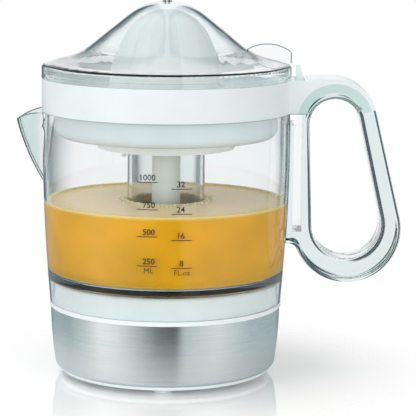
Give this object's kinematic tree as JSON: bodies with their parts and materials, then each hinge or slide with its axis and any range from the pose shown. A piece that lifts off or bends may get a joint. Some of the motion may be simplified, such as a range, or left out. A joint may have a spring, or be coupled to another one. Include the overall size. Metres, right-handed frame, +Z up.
{
  "type": "citrus juicer",
  "caption": "Electric citrus press: clear bell lid over a lobed cone, white strainer bowl and clear jug with spout and loop handle, on a round steel-clad motor base.",
  "frame": {"origin": "on the common axis of base, jug and cone, at table level under the feet", "axes": "+Z up, +X toward the handle, -X toward the spout, -Y toward the viewer of the picture"},
  "size_m": [0.2426, 0.157, 0.2398],
  "materials": {
    "brushed_steel": "circular brushed",
    "white_plastic": "gloss",
    "bowl_plastic": "satin",
    "cone_plastic": "satin",
    "shaft_plastic": "satin",
    "clear_plastic": "clear",
    "foot_rubber": "matt",
    "grey_rubber": "matt",
    "plain_steel": "plain",
    "copper_winding": "enamelled",
    "ferrite": "matt",
    "bearing_bronze": "sintered",
    "gear_plastic": "matt",
    "black_plastic": "matt"
  },
  "bodies": {
    "base": {"steel_shell": "brushed_steel", "base_housing": "white_plastic", "base_plate": "white_plastic", "rubber_feet": "foot_rubber", "base_screws": "plain_steel", "cord_gland": "grey_rubber", "motor_can": "plain_steel", "motor_coil": "copper_winding", "rotor_bushes": "bearing_bronze", "idler_axle": "plain_steel", "gear_bush": "gear_plastic", "gearbox_plate": "plain_steel", "gearbox_screws": "plain_steel", "spindle_bush": "bearing_bronze", "spindle_seal": "grey_rubber", "return_spring": "plain_steel", "switch_body": "black_plastic"},
    "rotor": {"rotor_magnet": "ferrite", "rotor_shaft": "plain_steel", "motor_pinion": "gear_plastic"},
    "idler": {"idler_gear": "gear_plastic"},
    "output": {"output_gear": "gear_plastic"},
    "spindle": {"drive_spindle": "plain_steel"},
    "button": {"switch_button": "black_plastic"},
    "jug": {"jug": "clear_plastic", "jug_handle": "clear_plastic"},
    "bowl": {"juice_bowl": "bowl_plastic"},
    "strainer": {"strainer_insert": "bowl_plastic"},
    "bush": {"shaft_bush": "gear_plastic"},
    "cone": {"drive_shaft": "shaft_plastic", "press_cone": "cone_plastic"},
    "lid": {"lid": "clear_plastic"}
  },
  "joints": [
    {"name": "jug_lift", "type": "slide", "parent": "base", "child": "jug", "axis": [0, 0, 1], "range_m": [0, 0.1]},
    {"name": "bowl_lift", "type": "slide", "parent": "jug", "child": "bowl", "axis": [0, 0, 1], "range_m": [0, 0.14]},
    {"name": "lid_lift", "type": "slide", "parent": "bowl", "child": "lid", "axis": [0, 0, 1], "range_m": [0, 0.07]},
    {"name": "pulp_turn", "type": "hinge", "parent": "bowl", "child": "strainer", "pos_m": [0, 0, 0.17], "axis": [0, 0, 1], "range_deg": [-6, 6]},
    {"name": "cone_press", "type": "slide", "parent": "bowl", "child": "bush", "axis": [0, 0, 1], "range_m": [-0.002, 0], "stiffness_N_per_m": 2000, "springref_m": 0.002},
    {"name": "cone_spin", "type": "hinge", "parent": "bush", "child": "cone", "pos_m": [0, 0, 0.17], "axis": [0, 0, 1], "continuous": true},
    {"name": "rotor_spin", "type": "hinge", "parent": "base", "child": "rotor", "pos_m": [0.037, 0, 0.03], "axis": [0, 0, 1], "continuous": true},
    {"name": "idler_spin", "type": "hinge", "parent": "base", "child": "idler", "pos_m": [0.02668, 0.01943, 0.045], "axis": [0, 0, 1], "continuous": true},
    {"name": "output_spin", "type": "hinge", "parent": "base", "child": "output", "pos_m": [0, 0, 0.048], "axis": [0, 0, 1], "continuous": true},
    {"name": "spindle_press", "type": "slide", "parent": "output", "child": "spindle", "axis": [0, 0, 1], "range_m": [-0.002, 0], "deforming": ["return_spring"]},
    {"name": "button_press", "type": "slide", "parent": "base", "child": "button", "axis": [0, 0, 1], "range_m": [-0.002, 0]}
  ],
  "couplings": [
    {"joint": "idler_spin", "follows": "rotor_spin", "ratio": -0.22222},
    {"joint": "output_spin", "follows": "rotor_spin", "ratio": 0.049383},
    {"joint": "cone_spin", "follows": "rotor_spin", "ratio": 0.049383},
    {"joint": "spindle_press", "follows": "cone_press", "ratio": 1},
    {"joint": "button_press", "follows": "cone_press", "ratio": 1}
  ]
}
